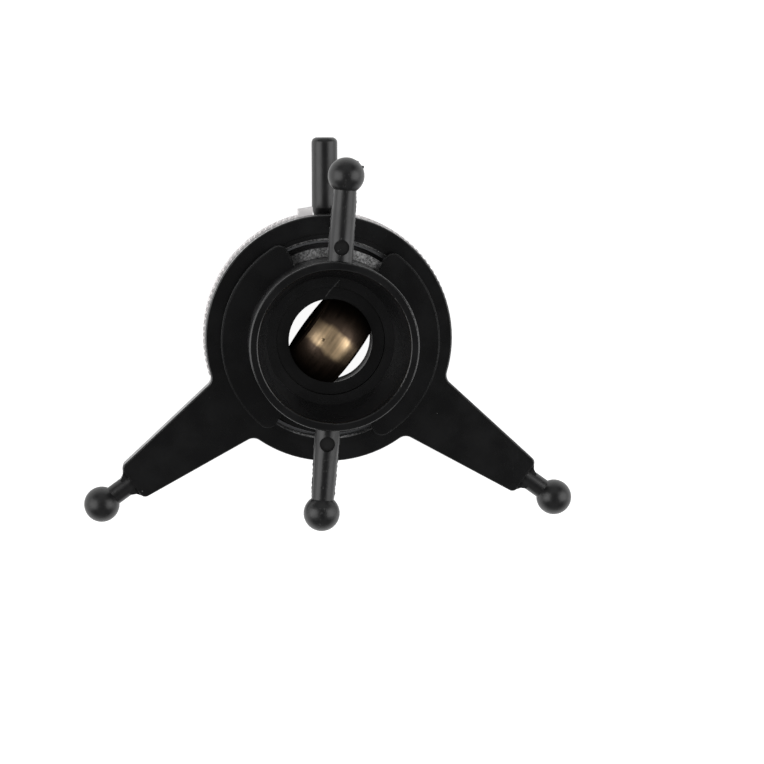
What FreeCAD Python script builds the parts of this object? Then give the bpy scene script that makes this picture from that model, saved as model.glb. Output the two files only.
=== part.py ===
"""Two-servo swashplate of a small model helicopter, as a parametric FreeCAD document.

Millimetres, +Z up the rotor mast, +Y towards the anti-rotation pin, +X to the right with the pin pointing away.
The origin is the centre of the brass mast ball, which is the point that the whole plate tilts about.

The stationary star carries the two servo arms, the anti-rotation pin and the bearing's outer race. The rotor hub
is pressed through the inner race, and a collar from below clamps the race and the two halves of the ball seat.
"""

import FreeCAD, Part
import Sketcher
import math
import os
import re

SHEET = "Sizes"
NEAR = 1e-3

# Every size: alias, its value or the sizes that it follows, what it is. Heights are measured up the mast from the
# ball's centre. From the ball outwards, each piece's radius follows the one inside it by a named wall or gap.
SIZES = [
    ("star_top", -0.5, "height of the star's flat top face"),
    ("star_land", 1.0, "width of the disc outside its skirt"),
    ("star_radius", "skirt_radius + star_land", "outside radius of the star's disc"),
    ("star_thickness", 2.4, "thickness of the disc and of the servo arms"),
    ("edge_round", 0.2, "rounding of the star's top outline, the wings and the hub's rim"),
    ("lip_overlap", 0.4, "how far the star's lip reaches in over the bearing"),
    ("lip_radius", "race_outer_radius - lip_overlap", "radius of the star's bore above the bearing"),
    ("lip_thickness", 0.8, "star material over the bearing's outer race"),
    ("rim_width", 0.65, "width of the raised rim round the star's bore"),
    ("rim_height", 0.4, "how far that rim stands up"),
    ("rim_chamfer", 0.15, "chamfer at the raised rim's bore"),
    ("skirt_wall", 1.4, "wall of the star's skirt outside the bearing"),
    ("skirt_radius",
     "race_outer_radius + skirt_wall",
     "outside radius of the star's skirt, inside the retainer ring"),
    ("skirt_depth", 1.7, "how far the skirt reaches below the disc"),
    ("arm_angle", 35.85, "servo arms, degrees behind the left-right line"),
    ("arm_length", 27.5, "mast axis to the arm's square end"),
    ("arm_root_depth", 1.7, "how deep the arm's inner end lies in the disc"),
    ("arm_root_reach", "star_radius - arm_root_depth", "mast axis to the arm's inner end, inside the disc"),
    ("arm_root_half", 4.05, "half width of the arm at its inner end"),
    ("arm_tip_half", 2.17, "half width of the arm at its square end"),
    ("arm_corner", 0.7, "corner radius of the arm's square end"),
    ("arm_fillet", 1.2, "fillet between arm and disc"),
    ("servo_neck_length", 4.22, "arm's square end to the centre of its link ball"),
    ("servo_ball_reach", "arm_length + servo_neck_length", "mast axis to the centre of a servo link ball"),
    ("link_ball_radius", 2.0, "radius of every moulded link ball"),
    ("servo_neck_radius", 1.12, "radius of the neck that carries a servo ball"),
    ("gusset_half_width", 1.75, "half width of the gusset between arm and neck, at the arm"),
    ("gusset_length", 0.9, "length of that gusset"),
    ("gusset_thickness", 1.7, "thickness of that gusset"),
    ("boss_half_width", 2.6, "half width of the anti-rotation boss"),
    ("boss_setback", 0.5, "how far the boss's face lies inside the disc's outline"),
    ("boss_face", "star_radius - boss_setback", "mast axis to the boss's flat face"),
    ("boss_thickness", 1.2, "thickness of the boss along the pin"),
    ("boss_inner", "boss_face - boss_thickness", "mast axis to the boss's inner face"),
    ("boss_foot", 1.9, "how far the boss reaches below the pin's axis"),
    ("boss_depth", "pin_drop + boss_foot", "how far the boss hangs below the star's top"),
    ("pin_drop", 6.7, "pin axis below the star's top"),
    ("pin_radius", 1.48, "radius of the anti-rotation pin"),
    ("pin_neck_radius", 1.2, "radius of the pin's neck and of its shank in the boss"),
    ("pin_neck_length", 1.0, "length of the tapered neck outside the boss"),
    ("pin_length", 9.0, "length of the pin outside the boss"),
    ("pin_end", "boss_face + pin_length", "mast axis to the pin's tip"),
    ("pin_tip_round", 0.6, "rounding of the pin's tip"),
    ("pin_shank", 1.0, "length of the shank inside the boss"),
    ("ring_lip_overlap", 0.6, "how far the retainer ring's lip reaches in under the bearing"),
    ("ring_lip_radius", "race_outer_radius - ring_lip_overlap", "bore of the retainer ring's lip"),
    ("ring_lip_thickness", 0.5, "thickness of that lip under the bearing"),
    ("ring_overhang", 0.2, "how far the retainer ring stands out past the disc"),
    ("ring_radius", "star_radius + ring_overhang", "outside radius of the retainer ring"),
    ("ring_bevel_height", 0.34, "height of the bevel at the ring's foot"),
    ("ring_rim_depth",
     "lip_thickness + race_width + 2 * face_gap + ring_lip_thickness - star_thickness - ring_bevel_height",
     "depth of the ring's rim"),
    ("ring_bevel_width", 0.8, "width of the bevel at the ring's foot"),
    ("ring_foot_radius", "ring_radius - ring_bevel_width", "outside radius of the ring's lower face"),
    ("tooth_count", 120, "serrations round the ring"),
    ("tooth_depth", 0.16, "depth of a serration"),
    ("tooth_length", 2.0, "how far down the rim a serration runs, short of its plain lower edge"),
    ("tooth_width", 0.5, "width of a serration at the rim"),
    ("ear_width", 0.65, "how far an ear reaches past the side of the boss"),
    ("ear_half_width", "boss_half_width + ear_width", "half width across the ring's two ears beside the pin"),
    ("ear_length", 0.52, "how far the ears stand out past the ring"),
    ("ear_reach", "ring_radius + ear_length", "mast axis to the ears' outer corners beside the pin"),
    ("ear_slope", 0.25, "how far each ear's outer side falls back"),
    ("ear_slot_play", 0.15, "play between the pin and each ear"),
    ("spigot_wall", 1.33, "wall of the hub's spigot in the bearing"),
    ("race_bore_radius",
     "seat_pocket_radius + spigot_wall + fit_gap",
     "bearing bore, a thin section bearing"),
    ("race_section", 3.0, "radial section of the bearing"),
    ("race_outer_radius", "race_bore_radius + race_section", "bearing outside radius"),
    ("race_width", 4.0, "bearing width"),
    ("pitch_radius", "race_bore_radius + race_section / 2", "radius of the circle of bearing balls"),
    ("bearing_ball_radius", 0.8, "radius of a bearing ball"),
    ("bearing_ball_count", 14, "bearing balls"),
    ("groove_gap", 0.02, "play between a bearing ball and each race groove"),
    ("race_gap", 1.1, "radial gap between the two races"),
    ("inner_shoulder_radius", "pitch_radius - race_gap / 2", "outside radius of the inner race"),
    ("outer_shoulder_radius", "pitch_radius + race_gap / 2", "inside radius of the outer race"),
    ("seal_thickness", 0.25, "thickness of a bearing seal"),
    ("seal_seat", 0.25, "width of the step that a seal sits on"),
    ("seal_recess_radius",
     "outer_shoulder_radius + seal_seat",
     "radius of the seal's seat in the outer race"),
    ("seal_play", 0.15, "gap between a seal and the inner race"),
    ("seal_bore_radius", "inner_shoulder_radius + seal_play", "bore of a seal"),
    ("cage_play", 0.15, "gap between the cage and each race"),
    ("cage_half_width", "race_gap / 2 - cage_play", "half the radial thickness of the bearing cage"),
    ("cage_web", 0.29, "height of the cage's closed edge under a pocket"),
    ("cage_back",
     "bearing_ball_radius + cage_pocket_gap + cage_web",
     "cage's closed edge below the ball circle"),
    ("cage_front", 0.55, "cage's open edge above the ball circle"),
    ("cage_pocket_gap", 0.06, "play between a bearing ball and its pocket"),
    ("hub_step", 0.8, "width of the hub's step on the inner race"),
    ("hub_radius", "race_bore_radius + hub_step", "outside radius of the hub's cup"),
    ("hub_top", 8.97, "height of the hub's rim"),
    ("cup_lip", 0.92, "wall of the cup at its rim"),
    ("hub_mouth_radius", "hub_radius - cup_lip", "inside radius of the cup at its rim"),
    ("floor_ledge", 1.1, "width of the cup's floor round the seat's opening"),
    ("hub_floor_radius", "seat_opening_radius + floor_ledge", "inside radius of the cup at its floor"),
    ("nose_recess", 0.36, "how far the seat's nose stays below the cup's floor"),
    ("hub_floor", "seat_nose_height + nose_recess", "height of the cup's floor"),
    ("seat_opening_radius", "seat_nose_radius + running_gap", "opening in the cup's floor for the ball seat"),
    ("seat_shoulder", 1.15, "width of the seat's shoulder outside its nose"),
    ("seat_pocket_radius", "seat_nose_radius + seat_shoulder", "radius of the seat's pocket below the floor"),
    ("seat_half_height", 1.4, "ball centre to each end of the seat's pocket"),
    ("flange_width", 1.1, "width of the flange outside the cup"),
    ("flange_radius", "hub_radius + flange_width", "radius of the hub's flange between the wings"),
    ("flange_gap", 0.65, "running gap between the star's rim and the hub's flange"),
    ("flange_bottom", "star_top + rim_height + flange_gap", "height of the underside of flange and wings"),
    ("flange_thickness", 1.1, "thickness of the flange"),
    ("wing_root_depth", 0.5, "how deep a wing's inner end lies in the cup's wall"),
    ("wing_root_radius",
     "hub_radius - wing_root_depth",
     "mast axis to a wing's inner end, inside the cup's wall"),
    ("wing_width", 2.9, "width of a wing outside the cup"),
    ("wing_radius", "hub_radius + wing_width", "outside radius of the two wings"),
    ("wing_thickness", 2.0, "thickness of the wings"),
    ("wing_half_angle", 60.5, "half the angle that a wing spans, degrees"),
    ("wing_corner", 1.1, "corner radius of a wing"),
    ("hub_arm_turn", -4.45, "turn of the hub about the mast as drawn, degrees"),
    ("hub_arm_drop", 1.71, "hub arms' axis below the hub's rim"),
    ("hub_arm_height", "hub_top - hub_arm_drop", "height of the hub arms' axis"),
    ("hub_arm_root_depth", 0.6, "how deep a hub arm's root lies in the cup's wall"),
    ("hub_arm_start", "hub_radius - hub_arm_root_depth", "mast axis to the arm's root inside the cup wall"),
    ("hub_arm_root_radius", 1.37, "radius of a hub arm at its root"),
    ("hub_arm_tip_radius", 1.22, "radius of a hub arm at its ball"),
    ("hub_ball_reach", 18.6, "mast axis to the centre of a rotor link ball"),
    ("dimple_gap", 1.5, "cup to the middle of the round dimple on a hub arm"),
    ("dimple_reach", "hub_radius + dimple_gap", "mast axis to the round dimple on a hub arm"),
    ("dimple_radius", 0.84, "radius of the dimple"),
    ("dimple_depth", 0.5, "depth of the dimple"),
    ("ball_radius", 5.0, "radius of the brass mast ball"),
    ("ball_width", 6.0, "width of the ball across its flats"),
    ("mast_bore_radius", 2.0, "radius of the mast bore"),
    ("bore_chamfer", 0.2, "chamfer at the ends of the mast bore"),
    ("ball_turn", -36.85, "heading of the loose ball's bore, degrees from +X"),
    ("seat_play", 0.04, "radial play of the ball in its seat"),
    ("seat_wall", 1.0, "wall of the seat's nose round the ball"),
    ("seat_nose_radius", "ball_radius + seat_wall", "outside radius of the seat's nose"),
    ("seat_nose_length", 0.5, "length of the seat's nose"),
    ("seat_nose_height", "seat_half_height + seat_nose_length", "ball centre to the end of the seat's nose"),
    ("seat_split", 0.04, "gap between the two halves of the seat"),
    ("collar_radius",
     "inner_shoulder_radius - running_gap",
     "outside radius of the collar below the inner race"),
    ("collar_bore_radius", "seat_nose_radius + running_gap", "bore of the collar"),
    ("collar_flange", 2.16, "thickness of the collar below the inner race"),
    ("collar_foot",
     "collar_flange + race_width + lip_thickness + 2 * face_gap - star_top",
     "ball centre to the collar's lower end"),
    ("collar_flare", 0.8, "chamfer at the collar's mouth"),
    ("fit_gap", 0.02, "gap of parts pressed together, on the radius"),
    ("running_gap", 0.05, "gap of parts that turn in one another, on the radius"),
    ("face_gap", 0.02, "gap between clamped faces"),
]

document = FreeCAD.newDocument("Swashplate")
sheet = document.addObject("Spreadsheet::Sheet", SHEET)


def fill_sheet():
    """Gives every size a row of the sheet and an alias, then writes the values and the formulas that tie them."""
    for row, (alias, _, meaning) in enumerate(SIZES, start=1):
        sheet.set(f"A{row}", meaning)
        sheet.setAlias(f"B{row}", alias)
    for row, (_, size, _) in enumerate(SIZES, start=1):
        sheet.set(f"B{row}", f"={size}")
    document.recompute()


def named(expression):
    """Puts the sheet's name in front of every alias of an expression."""
    aliases = {alias for alias, _, _ in SIZES}
    return re.sub(r"[a-z_]+\w*", lambda word: f"{SHEET}.{word[0]}" if word[0] in aliases else word[0], expression)


def value(expression):
    """The number that an expression of aliases has now."""
    return float(sheet.evalExpression(named(expression)))


def bind(target, path, expression):
    """Ties a property of an object to an expression of aliases."""
    target.setExpression(path, named(expression))


def new_body(label):
    """A PartDesign body whose Label names the sub-part."""
    body = document.addObject("PartDesign::Body", label)
    body.Label = label
    return body


def attach(body, feature, role="XY_Plane", offset=None, turn=None):
    """Attaches a sketch or primitive to one of its body's origin planes, with bound offsets and an optional turn."""
    plane = next(item for item in body.Origin.OriginFeatures if item.Role == role)
    feature.AttachmentSupport = [(plane, "")]
    feature.MapMode = "FlatFace"
    if turn:
        feature.AttachmentOffset = FreeCAD.Placement(FreeCAD.Vector(), FreeCAD.Rotation(FreeCAD.Vector(0, 0, 1), 1))
        bind(feature, "AttachmentOffset.Rotation.Angle", turn)
    for axis, expression in (offset or {}).items():
        bind(feature, f"AttachmentOffset.Base.{axis}", expression)
    return feature


def profile(body, name, corners, role="XZ_Plane", offset=None, turn=None):
    """A sketch of one closed polygon, each corner held by two bound distances from the sketch's origin."""
    sketch = attach(body, body.newObject("Sketcher::SketchObject", name), role, offset, turn)
    points = [FreeCAD.Vector(value(across), value(up), 0) for across, up in corners]
    lines = [
        sketch.addGeometry(Part.LineSegment(start, end), False)
        for start, end in zip(points, points[1:] + points[:1])
    ]
    for line, following in zip(lines, lines[1:] + lines[:1]):
        sketch.addConstraint(Sketcher.Constraint("Coincident", line, 2, following, 1))
    for line, point, (across, up) in zip(lines, points, corners):
        for kind, now, expression in (("DistanceX", point.x, across), ("DistanceY", point.y, up)):
            held = sketch.addConstraint(Sketcher.Constraint(kind, -1, 1, line, 1, now))
            bind(sketch, f"Constraints[{held}]", expression)
    return sketch


def revolve(body, name, corners):
    """Turns a closed profile of (radius, height) corners about the body's Z axis."""
    sketch = profile(body, name + "_profile", corners)
    turned = body.newObject("PartDesign::Revolution", name)
    turned.Profile = sketch
    turned.ReferenceAxis = (sketch, ["V_Axis"])
    turned.Angle = 360
    document.recompute()
    return turned


def stem(body, name, height, heading, corners):
    """Turns (distance from the mast, radius) corners about a level axis that leaves the mast at a heading."""
    sketch = profile(body, name + "_profile", corners, "XY_Plane", {"z": height}, heading)
    turned = body.newObject("PartDesign::Revolution", name)
    turned.Profile = sketch
    turned.ReferenceAxis = (sketch, ["H_Axis"])
    turned.Angle = 360
    document.recompute()
    return turned


def pad(body, name, sketch, length, downward=False):
    """Pads a sketch by a bound length."""
    padded = body.newObject("PartDesign::Pad", name)
    padded.Profile = sketch
    padded.Reversed = downward
    bind(padded, "Length", length)
    document.recompute()
    return padded


def primitive(body, kind, name, sizes, role="XY_Plane", offset=None, turn=None):
    """Adds or subtracts a PartDesign primitive with bound sizes, and checks that a subtraction removed material."""
    before = body.Shape.Volume if body.Tip else 0.0
    feature = attach(body, body.newObject("PartDesign::" + kind, name), role, offset, turn)
    for path, expression in sizes.items():
        bind(feature, path, expression)
    document.recompute()
    if kind.startswith("Subtractive"):
        confirm_cut(body, before, name)
    return feature


def confirm_cut(body, before, name):
    """Stops the build if a subtractive feature left the body's volume as it was."""
    if body.Shape.Volume > before - 1e-4:
        raise RuntimeError(f"{body.Label}: {name} removed nothing")


def mirrored(body, name, originals, role):
    """Mirrors features across one of the body's origin planes."""
    plane = next(item for item in body.Origin.OriginFeatures if item.Role == role)
    mirror = body.newObject("PartDesign::Mirrored", name)
    mirror.Originals = originals
    mirror.MirrorPlane = (plane, [""])
    body.Tip = mirror
    document.recompute()
    return mirror


def round_of(body, name, originals, count):
    """Repeats features round the body's Z axis."""
    axis = next(item for item in body.Origin.OriginFeatures if item.Role == "Z_Axis")
    pattern = body.newObject("PartDesign::PolarPattern", name)
    pattern.Originals = originals
    pattern.Axis = (axis, [""])
    pattern.Angle = 360
    bind(pattern, "Occurrences", count)
    body.Tip = pattern
    document.recompute()
    return pattern


def dress(body, kind, name, size_path, size, chosen):
    """Fillets or chamfers the edges of the body's present shape that a test picks out."""
    base = body.Tip
    edges = [
        f"Edge{i}"
        for i, edge in enumerate(base.Shape.Edges, start=1)
        if not edge.Degenerated and chosen(edge)
    ]
    if not edges:
        raise RuntimeError(f"{body.Label}: {name} found no edge")
    feature = body.newObject("PartDesign::" + kind, name)
    feature.Base = (base, edges)
    bind(feature, size_path, size)
    body.Tip = feature
    document.recompute()
    return feature


def vertical(edge):
    """Whether an edge is a straight line along Z."""
    if edge.Curve.TypeId != "Part::GeomLine":
        return False
    return abs(edge.tangentAt(edge.FirstParameter).z) > 0.999


def reach(edge):
    """Distance of an edge's middle from the Z axis."""
    middle = edge.valueAt((edge.FirstParameter + edge.LastParameter) / 2)
    return math.hypot(middle.x, middle.y)


def circle_at(edge, radius, height):
    """Whether an edge is a full circle of this radius at this height about the Z axis."""
    if edge.Curve.TypeId != "Part::GeomCircle" or not edge.Closed:
        return False
    return abs(edge.Curve.Radius - radius) < NEAR and abs(edge.Curve.Center.z - height) < NEAR


def level_at(edge, height):
    """Whether both ends and the middle of an edge lie at one height."""
    middle = (edge.FirstParameter + edge.LastParameter) / 2
    return all(abs(edge.valueAt(at).z - height) < NEAR for at in (edge.FirstParameter, middle, edge.LastParameter))


def outer_star():
    """Disc with skirt and bearing pocket, two servo arms with moulded link balls, and the boss for the pin."""
    body = new_body("outer_star")
    disc_bottom = "star_top - star_thickness"
    pocket_top = "star_top - lip_thickness"
    skirt_bottom = "star_top - star_thickness - skirt_depth"
    pocket_radius = "race_outer_radius + fit_gap"
    revolve(body, "disc", [
        ("lip_radius", "star_top + rim_height"),
        ("lip_radius + rim_width", "star_top + rim_height"),
        ("lip_radius + rim_width", "star_top"),
        ("star_radius", "star_top"),
        ("star_radius", disc_bottom),
        ("skirt_radius", disc_bottom),
        ("skirt_radius", skirt_bottom),
        (pocket_radius, skirt_bottom),
        (pocket_radius, pocket_top),
        ("lip_radius", pocket_top),
    ])
    sides = (("right", 1, "0 - arm_angle"), ("left", -1, "180 + arm_angle"))
    for side, _, heading in sides:
        servo_arm(body, side, heading)
    dress_star(body)
    for side, sign, heading in sides:
        servo_link(body, side, sign, heading)
    boss_outline = profile(body, "boss_outline", [
        ("0 - boss_half_width", "boss_inner"),
        ("boss_half_width", "boss_inner"),
        ("boss_half_width", "boss_face"),
        ("0 - boss_half_width", "boss_face"),
    ], "XY_Plane", {"z": "star_top"})
    pad(body, "boss", boss_outline, "boss_depth", downward=True)
    primitive(body, "SubtractiveCylinder", "pin_hole",
              {"Radius": "pin_neck_radius + fit_gap", "Height": "pin_shank + face_gap"},
              "XZ_Plane", {"y": "star_top - pin_drop", "z": "0 - boss_face"})
    return body


def servo_arm(body, side, heading):
    """One tapered servo arm, as thick as the disc."""
    outline = profile(body, f"{side}_arm_outline", [
        ("arm_root_reach", "arm_root_half"),
        ("arm_root_reach", "0 - arm_root_half"),
        ("arm_length", "0 - arm_tip_half"),
        ("arm_length", "arm_tip_half"),
    ], "XY_Plane", {"z": "star_top"}, heading)
    pad(body, f"{side}_arm", outline, "star_thickness", downward=True)


def servo_link(body, side, sign, heading):
    """The gusset, round neck and moulded ball at a servo arm's end; sign is the side of the YZ plane."""
    middle = "star_top - star_thickness / 2"
    gusset = profile(body, f"{side}_gusset_outline", [
        ("arm_length - arm_corner", "gusset_half_width"),
        ("arm_length - arm_corner", "0 - gusset_half_width"),
        ("arm_length", "0 - gusset_half_width"),
        ("arm_length + gusset_length * 0.35", "0 - servo_neck_radius * 0.7 - gusset_half_width * 0.3"),
        ("arm_length + gusset_length", "0 - servo_neck_radius * 0.9"),
        ("arm_length + gusset_length", "servo_neck_radius * 0.9"),
        ("arm_length + gusset_length * 0.35", "servo_neck_radius * 0.7 + gusset_half_width * 0.3"),
        ("arm_length", "gusset_half_width"),
    ], "XY_Plane", {"z": f"{middle} + gusset_thickness / 2"}, heading)
    pad(body, f"{side}_gusset", gusset, "gusset_thickness", downward=True)
    stem(body, f"{side}_neck", middle, heading, [
        ("arm_length - arm_corner", "0"),
        ("servo_ball_reach", "0"),
        ("servo_ball_reach", "servo_neck_radius"),
        ("arm_length - arm_corner", "servo_neck_radius"),
    ])
    primitive(body, "AdditiveSphere", f"{side}_servo_ball", {"Radius": "link_ball_radius"}, offset={
        "x": f"{sign} * servo_ball_reach * cos(arm_angle)",
        "y": "0 - servo_ball_reach * sin(arm_angle)",
        "z": middle,
    })


def dress_star(body):
    """Blends the arms into the disc, rounds the arms' square ends and eases the top outline."""
    disc = value("star_radius")
    tip = math.hypot(value("arm_length"), value("arm_tip_half"))
    dress(body, "Fillet", "arm_corners", "Radius", "arm_corner",
          lambda edge: vertical(edge) and abs(reach(edge) - tip) < NEAR)
    dress(body, "Fillet", "arm_blends", "Radius", "arm_fillet",
          lambda edge: vertical(edge) and abs(reach(edge) - disc) < NEAR and edge.CenterOfMass.y < 0)
    top, inside = value("star_top"), value("lip_radius + rim_width")
    dress(body, "Fillet", "top_outline", "Radius", "edge_round",
          lambda edge: level_at(edge, top) and reach(edge) > (inside + disc) / 2)
    bore, rim_top = value("lip_radius"), value("star_top + rim_height")
    dress(body, "Chamfer", "rim_bore", "Size", "rim_chamfer", lambda edge: circle_at(edge, bore, rim_top))


def anti_rotation_pin():
    """Round pin with a tapered neck and a shank that is pressed into the boss, turned about its own axis."""
    body = new_body("anti_rotation_pin")
    stem(body, "pin", "star_top - pin_drop", "90", [
        ("boss_face - pin_shank", "0"),
        ("pin_end", "0"),
        ("pin_end", "pin_radius"),
        ("boss_face + pin_neck_length", "pin_radius"),
        ("boss_face", "pin_neck_radius"),
        ("boss_face - pin_shank", "pin_neck_radius"),
    ])
    end = value("pin_end")
    dress(body, "Fillet", "pin_tip", "Radius", "pin_tip_round",
          lambda edge: edge.Curve.TypeId == "Part::GeomCircle" and abs(edge.CenterOfMass.y - end) < NEAR)
    return body


def retainer_ring():
    """Ring pressed over the star's skirt: serrated rim, lip under the bearing, a gap for the boss, two pin ears."""
    body = new_body("retainer_ring")
    top = "star_top - star_thickness - face_gap"
    foot = "star_top - lip_thickness - race_width - 2 * face_gap - ring_lip_thickness"
    revolve(body, "ring", [
        ("skirt_radius + fit_gap", top),
        ("ring_radius", top),
        ("ring_radius", "star_top - star_thickness - ring_rim_depth"),
        ("ring_foot_radius", foot),
        ("ring_lip_radius", foot),
        ("ring_lip_radius", "star_top - lip_thickness - race_width - 2 * face_gap"),
        ("race_outer_radius + fit_gap", "star_top - lip_thickness - race_width - 2 * face_gap"),
        ("race_outer_radius + fit_gap", "star_top - star_thickness - skirt_depth - face_gap"),
        ("skirt_radius + fit_gap", "star_top - star_thickness - skirt_depth - face_gap"),
    ])
    before = body.Shape.Volume
    tooth_outline = profile(body, "tooth_outline", [
        ("ring_radius - tooth_depth", "0"),
        ("ring_radius + tooth_depth", "0 - tooth_width"),
        ("ring_radius + tooth_depth", "tooth_width"),
    ], "XY_Plane", {"z": "star_top - star_thickness"})
    tooth = body.newObject("PartDesign::Pocket", "tooth")
    tooth.Profile = tooth_outline
    bind(tooth, "Length", "tooth_length")
    document.recompute()
    confirm_cut(body, before, "tooth")
    round_of(body, "teeth", [tooth], "tooth_count")
    slot = "pin_radius + ear_slot_play"
    ears = profile(body, "ears_outline", [
        ("0 - ear_half_width", "boss_face"),
        ("ear_half_width", "boss_face"),
        ("ear_half_width", "ear_reach - ear_slope"),
        (slot, "ear_reach"),
        (f"0 - ({slot})", "ear_reach"),
        ("0 - ear_half_width", "ear_reach - ear_slope"),
    ], "XY_Plane", {"z": top})
    pad(body, "ears", ears, "ring_rim_depth - face_gap", downward=True)
    through_cut(body, "boss_gap", "boss_half_width + fit_gap", "boss_inner - fit_gap", "boss_face + fit_gap")
    through_cut(body, "pin_slot", slot, "boss_inner", "ear_reach + running_gap")
    return body


def through_cut(body, name, half_width, near, far):
    """A rectangular cut down through the whole ring, from near to far along Y."""
    before = body.Shape.Volume
    outline = profile(body, name + "_outline", [
        (f"0 - ({half_width})", near),
        (half_width, near),
        (half_width, far),
        (f"0 - ({half_width})", far),
    ], "XY_Plane", {"z": "star_top"})
    cut = body.newObject("PartDesign::Pocket", name)
    cut.Profile = outline
    bind(cut, "Length", "boss_depth")
    document.recompute()
    confirm_cut(body, before, name)


BEARING_TOP = "star_top - lip_thickness - face_gap"
BEARING_BOTTOM = "star_top - lip_thickness - face_gap - race_width"
BEARING_MIDDLE = "star_top - lip_thickness - face_gap - race_width / 2"


def outer_race():
    """Outer race: rectangular ring with the ball groove and a seal seat in each face."""
    body = new_body("bearing_outer_race")
    upper_seat = f"{BEARING_TOP} - seal_thickness - face_gap"
    lower_seat = f"{BEARING_BOTTOM} + seal_thickness + face_gap"
    revolve(body, "ring", [
        ("outer_shoulder_radius", upper_seat),
        ("seal_recess_radius", upper_seat),
        ("seal_recess_radius", BEARING_TOP),
        ("race_outer_radius", BEARING_TOP),
        ("race_outer_radius", BEARING_BOTTOM),
        ("seal_recess_radius", BEARING_BOTTOM),
        ("seal_recess_radius", lower_seat),
        ("outer_shoulder_radius", lower_seat),
    ])
    groove(body)
    return body


def inner_race():
    """Inner race: rectangular ring with the ball groove outside."""
    body = new_body("bearing_inner_race")
    revolve(body, "ring", [
        ("race_bore_radius", BEARING_TOP),
        ("inner_shoulder_radius", BEARING_TOP),
        ("inner_shoulder_radius", BEARING_BOTTOM),
        ("race_bore_radius", BEARING_BOTTOM),
    ])
    groove(body)
    return body


def groove(body):
    """Cuts the ball groove, a ring of the ball's radius plus its play."""
    primitive(body, "SubtractiveTorus", "ball_groove",
              {"Radius1": "pitch_radius", "Radius2": "bearing_ball_radius + groove_gap"},
              offset={"z": BEARING_MIDDLE})


def seal(label, bottom):
    """A flat seal ring in the outer race; bottom is the height of its lower face."""
    body = new_body(label)
    revolve(body, "disc", [
        ("seal_bore_radius", bottom),
        ("seal_recess_radius - fit_gap", bottom),
        ("seal_recess_radius - fit_gap", f"{bottom} + seal_thickness"),
        ("seal_bore_radius", f"{bottom} + seal_thickness"),
    ])
    return body


def bearing_cage():
    """Crown cage: a thin ring with a square pocket for each ball, open at the front."""
    body = new_body("bearing_cage")
    revolve(body, "ring", [
        ("pitch_radius - cage_half_width", f"{BEARING_MIDDLE} - cage_back"),
        ("pitch_radius + cage_half_width", f"{BEARING_MIDDLE} - cage_back"),
        ("pitch_radius + cage_half_width", f"{BEARING_MIDDLE} + cage_front"),
        ("pitch_radius - cage_half_width", f"{BEARING_MIDDLE} + cage_front"),
    ])
    half = "bearing_ball_radius + cage_pocket_gap"
    pocket = primitive(body, "SubtractiveBox", "pocket", {
        "Length": "4 * cage_half_width",
        "Width": f"2 * ({half})",
        "Height": f"{half} + cage_back",
    }, offset={
        "x": "pitch_radius - 2 * cage_half_width",
        "y": f"0 - ({half})",
        "z": f"{BEARING_MIDDLE} - ({half})",
    })
    round_of(body, "pockets", [pocket], "bearing_ball_count")
    return body


def bearing_balls():
    """The bearing's balls, one solid each, evenly round the pitch circle."""
    count = int(round(value("bearing_ball_count")))
    radius = value("bearing_ball_radius")
    height = value(BEARING_MIDDLE)
    balls = []
    for index in range(count):
        angle = 2 * math.pi * index / count
        centre = FreeCAD.Vector(math.cos(angle), math.sin(angle), 0) * value("pitch_radius")
        balls.append(Part.makeSphere(radius, centre + FreeCAD.Vector(0, 0, height)))
    group = document.addObject("Part::Feature", "bearing_balls")
    group.Label = "bearing_balls"
    group.Shape = Part.makeCompound(balls)
    return group


def rotor_hub():
    """Tall cup on a spigot, with flange and wings over the star, and two round arms with moulded link balls."""
    body = new_body("rotor_hub")
    bind(body, "Placement.Rotation.Angle", "hub_arm_turn")
    spigot_radius = "race_bore_radius - fit_gap"
    revolve(body, "cup", [
        ("hub_mouth_radius", "hub_top"),
        ("hub_radius", "hub_top"),
        ("hub_radius", "flange_bottom + flange_thickness"),
        ("flange_radius", "flange_bottom + flange_thickness"),
        ("flange_radius", "flange_bottom"),
        ("hub_radius", "flange_bottom"),
        ("hub_radius", BEARING_TOP + " + face_gap"),
        (spigot_radius, BEARING_TOP + " + face_gap"),
        (spigot_radius, BEARING_BOTTOM),
        ("seat_pocket_radius", BEARING_BOTTOM),
        ("seat_pocket_radius", "seat_half_height"),
        ("seat_opening_radius", "seat_half_height"),
        ("seat_opening_radius", "hub_floor"),
        ("hub_floor_radius", "hub_floor"),
    ])
    wing = wing_sector(body)
    mirrored(body, "second_wing", [wing], "YZ_Plane")
    edge_reach = value("wing_radius")
    dress(body, "Fillet", "wing_corners", "Radius", "wing_corner",
          lambda edge: vertical(edge) and abs(reach(edge) - edge_reach) < NEAR)
    wing_top, cup_radius, flange = value("flange_bottom + wing_thickness"), value("hub_radius"), value("flange_radius")
    dress(body, "Fillet", "wing_edges", "Radius", "edge_round",
          lambda edge: level_at(edge, wing_top) and reach(edge) > (cup_radius + flange) / 2)
    rim, mouth = value("hub_top"), value("hub_mouth_radius")
    dress(body, "Fillet", "rim_edges", "Radius", "edge_round",
          lambda edge: circle_at(edge, cup_radius, rim) or circle_at(edge, mouth, rim))
    for side, sign in (("front", 1), ("rear", -1)):
        hub_arm(body, side, sign)
    return body


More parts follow.
